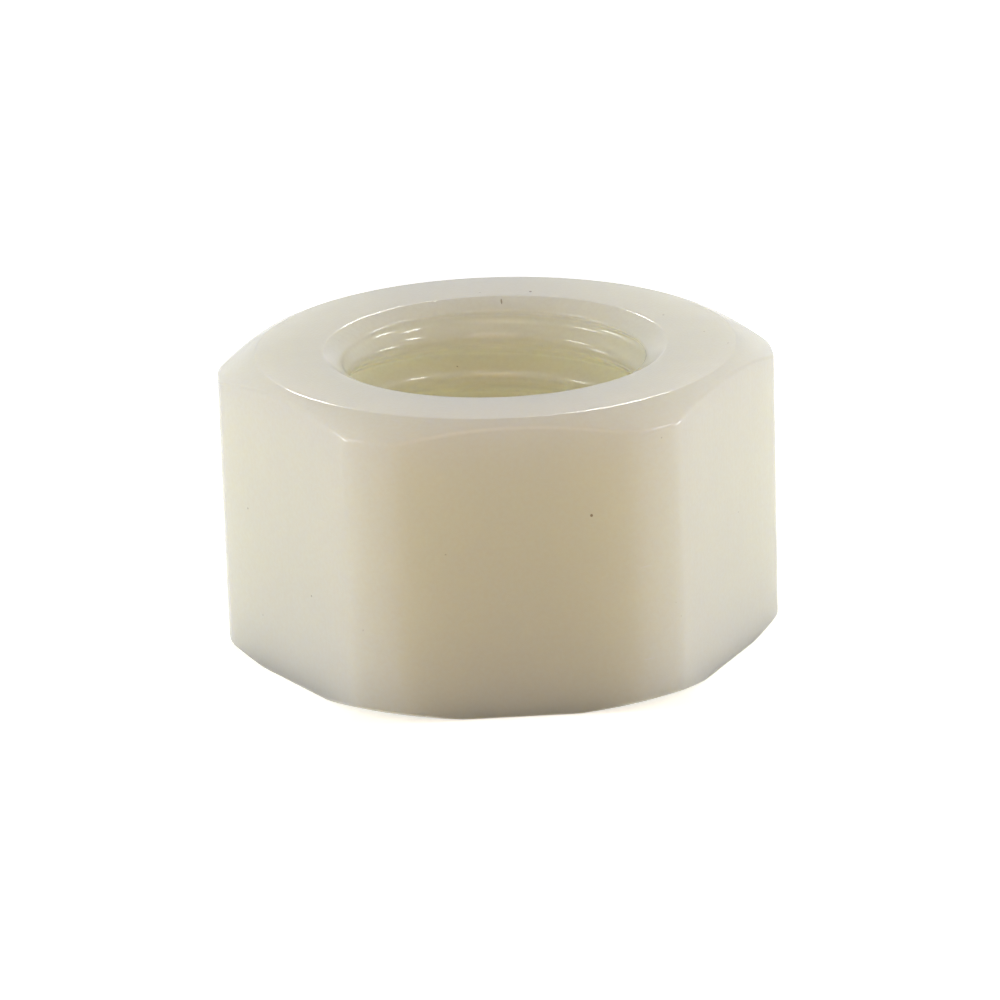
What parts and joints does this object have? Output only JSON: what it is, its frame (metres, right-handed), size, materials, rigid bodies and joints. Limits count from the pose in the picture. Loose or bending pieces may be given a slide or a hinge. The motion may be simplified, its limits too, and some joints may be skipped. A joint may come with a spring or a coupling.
{
  "type": "hex nut",
  "caption": "Thick hexagonal plastic nut with a coarse threaded through hole, countersunk mouths and turned, chamfered corners.",
  "frame": {"origin": "centre of the bearing face, the lower end face with the narrower chamfer, on the thread axis", "axes": "+Z along the thread axis towards the top face; two flats face +Y and -Y and two corners point along +X and -X"},
  "size_m": [0.033, 0.03, 0.018],
  "materials": {
    "nylon": "translucent off-white natural nylon with a soft machined sheen"
  },
  "bodies": {
    "root": {"hex_nut": "nylon"}
  },
  "joints": []
}
